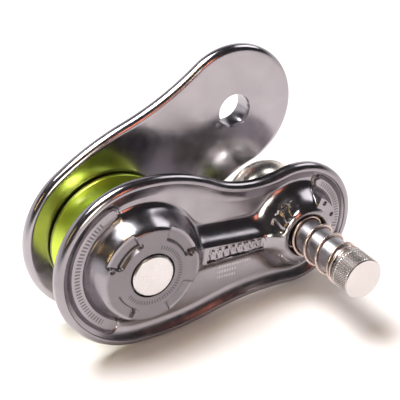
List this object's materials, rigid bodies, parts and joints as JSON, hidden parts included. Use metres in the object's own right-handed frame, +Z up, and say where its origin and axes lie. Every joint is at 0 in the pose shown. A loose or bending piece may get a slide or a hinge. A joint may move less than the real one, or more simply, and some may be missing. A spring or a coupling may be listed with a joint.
{
  "type": "rope pulley",
  "caption": "Rigging pulley block with two forged cheeks, one swinging open, a grooved sheave on a roller bearing and a sprung twist-lock pin through an attachment bush.",
  "frame": {"origin": "centre of the sheave, midway between the cheeks", "axes": "+Y along the sheave axle towards the swinging rear cheek, +X towards the locking pin along the ground, +Z up as the open block stands"},
  "size_m": [0.1897, 0.1257, 0.1418],
  "materials": {
    "cheek": "polished, anodised gunmetal",
    "sheave": "satin, anodised lime green",
    "axle": "satin turned face",
    "pin": "ground and polished",
    "knob": "knurled side, satin face",
    "spring": "drawn wire",
    "bush": "polished, clear",
    "bearing_steel": "ground",
    "bronze": "turned",
    "seal": "matt",
    "cage": "moulded",
    "thrust_washer": "moulded"
  },
  "bodies": {
    "front_frame": {"front_cheek": "cheek", "axle": "axle", "axle_washer": "bearing_steel", "friction_washer": "bearing_steel", "retaining_ring": "spring", "bearing_inner_ring": "bearing_steel", "thrust_washer_front": "thrust_washer", "thrust_washer_rear": "thrust_washer", "spring_seat": "bearing_steel", "pin_spring": "spring", "attachment_bush": "bush", "bush_dowel": "bearing_steel"},
    "swing_cheek": {"rear_cheek": "cheek", "hinge_bush": "bronze"},
    "sheave_set": {"sheave": "sheave", "bearing_outer_ring": "bearing_steel", "bearing_seal_front": "seal", "bearing_seal_rear": "seal"},
    "roller_set": {"bearing_rollers": "bearing_steel", "bearing_cage": "cage"},
    "pin_carrier": {"spring_follower": "bearing_steel"},
    "pin_set": {"locking_pin": "pin", "locking_lug": "pin", "pin_knob": "knob"}
  },
  "joints": [
    {"name": "cheek_swing", "type": "hinge", "parent": "front_frame", "child": "swing_cheek", "pos_m": [0, 0, 0], "axis": [0, -1, 0], "range_deg": [-37.2, 142.8]},
    {"name": "sheave_spin", "type": "hinge", "parent": "front_frame", "child": "sheave_set", "pos_m": [0, 0, 0], "axis": [0, 1, 0], "continuous": true},
    {"name": "cage_spin", "type": "hinge", "parent": "front_frame", "child": "roller_set", "pos_m": [0, 0, 0], "axis": [0, 1, 0], "continuous": true},
    {"name": "pin_slide", "type": "slide", "parent": "front_frame", "child": "pin_carrier", "axis": [0, 1, 0], "range_m": [0, 0.038], "stiffness_N_per_m": 900, "springref_m": -0.004, "deforming": ["pin_spring"]},
    {"name": "pin_twist", "type": "hinge", "parent": "pin_carrier", "child": "pin_set", "pos_m": [0.09926, 0, -0.01215], "axis": [0, 1, 0], "range_deg": [0, 90]}
  ],
  "couplings": [
    {"joint": "cage_spin", "follows": "sheave_spin", "ratio": 0.58}
  ]
}
